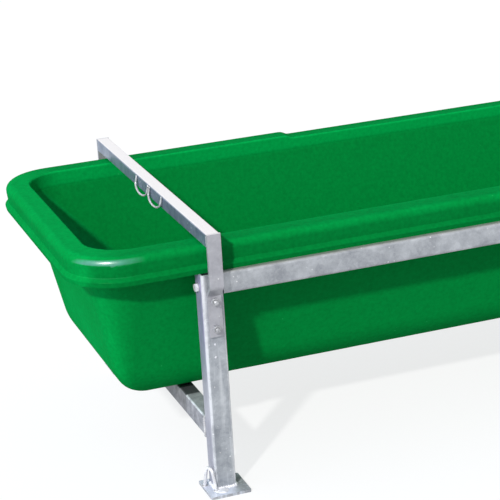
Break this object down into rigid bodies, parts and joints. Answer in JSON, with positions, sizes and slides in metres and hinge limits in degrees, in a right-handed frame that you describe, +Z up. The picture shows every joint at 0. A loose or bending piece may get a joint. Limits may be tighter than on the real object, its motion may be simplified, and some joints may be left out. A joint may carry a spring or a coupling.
{
  "type": "feed trough",
  "caption": "Long moulded plastic livestock feed trough with a turned-down rim, hung in a bolted galvanised tube frame with plate feet, a hoop over each end and tether loops.",
  "frame": {"origin": "on the ground, under the middle of the trough's box", "axes": "+X along the trough, +Y across it to the rear side, +Z up"},
  "size_m": [1.7548, 0.706, 0.49],
  "materials": {
    "green_plastic": "rotationally moulded, soft sheen",
    "galvanised_tube": "hot-dip galvanised, mottled",
    "galvanised_plate": "hot-dip galvanised, dull",
    "galvanised_rod": "hot-dip galvanised, bright",
    "zinc_fastener": "zinc plated"
  },
  "bodies": {
    "root": {"trough_shell": "green_plastic", "leg_front_left": "galvanised_tube", "leg_front_right": "galvanised_tube", "leg_rear_left": "galvanised_tube", "leg_rear_right": "galvanised_tube", "foot_plate_front_left": "galvanised_plate", "foot_plate_front_right": "galvanised_plate", "foot_plate_rear_left": "galvanised_plate", "foot_plate_rear_right": "galvanised_plate", "foot_loop_front_left": "galvanised_rod", "foot_loop_front_right": "galvanised_rod", "foot_loop_rear_left": "galvanised_rod", "foot_loop_rear_right": "galvanised_rod", "cross_tube_left": "galvanised_tube", "cross_tube_right": "galvanised_tube", "rail_front": "galvanised_tube", "rail_rear": "galvanised_tube", "rail_plug_front_left": "galvanised_plate", "rail_plug_front_right": "galvanised_plate", "rail_plug_rear_left": "galvanised_plate", "rail_plug_rear_right": "galvanised_plate", "hoop_bar_left": "galvanised_tube", "hoop_bar_right": "galvanised_tube", "hoop_strap_front_left": "galvanised_plate", "hoop_strap_front_right": "galvanised_plate", "hoop_strap_rear_left": "galvanised_plate", "hoop_strap_rear_right": "galvanised_plate", "tether_loop_left_front": "galvanised_rod", "tether_loop_left_rear": "galvanised_rod", "tether_loop_right_front": "galvanised_rod", "tether_loop_right_rear": "galvanised_rod", "rail_bolts": "zinc_fastener", "rail_washers": "zinc_fastener", "hoop_bolts": "zinc_fastener", "hoop_washers_inner": "zinc_fastener", "hoop_nuts": "zinc_fastener"}
  },
  "joints": []
}
